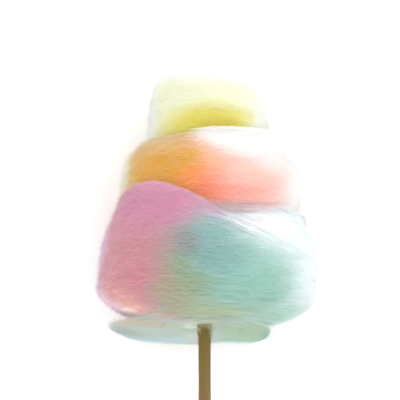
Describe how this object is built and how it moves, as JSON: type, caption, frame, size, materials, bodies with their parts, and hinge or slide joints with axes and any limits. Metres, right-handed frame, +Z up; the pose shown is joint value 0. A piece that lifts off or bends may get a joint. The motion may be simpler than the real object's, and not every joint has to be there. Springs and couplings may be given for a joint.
{
  "type": "cotton candy",
  "caption": "Cotton candy on a round wooden stick: three stacked wads of pastel floss over a thin wispy base sheet, lying on its back.",
  "frame": {"origin": "on the floor, under the middle of the whole object's bounding box", "axes": "+Z up, out of the shown side; +Y along the candy, from the stick's free end to the top tier; +X to the shown side's right"},
  "size_m": [0.1762, 0.378, 0.1702],
  "materials": {
    "floss_top": "lemon-yellow spun sugar, matt and fibrous, paler towards the rim",
    "floss_middle": "spun sugar running from amber through coral to pale peach",
    "floss_bottom": "spun sugar running from mauve-pink through grey-green to mint",
    "floss_base": "thin pale blue-green sheet of spun sugar",
    "stick": "plain unvarnished dowel"
  },
  "bodies": {
    "root": {"floss_top": "floss_top", "floss_middle": "floss_middle", "floss_bottom": "floss_bottom", "floss_base": "floss_base", "stick": "stick"}
  },
  "joints": []
}
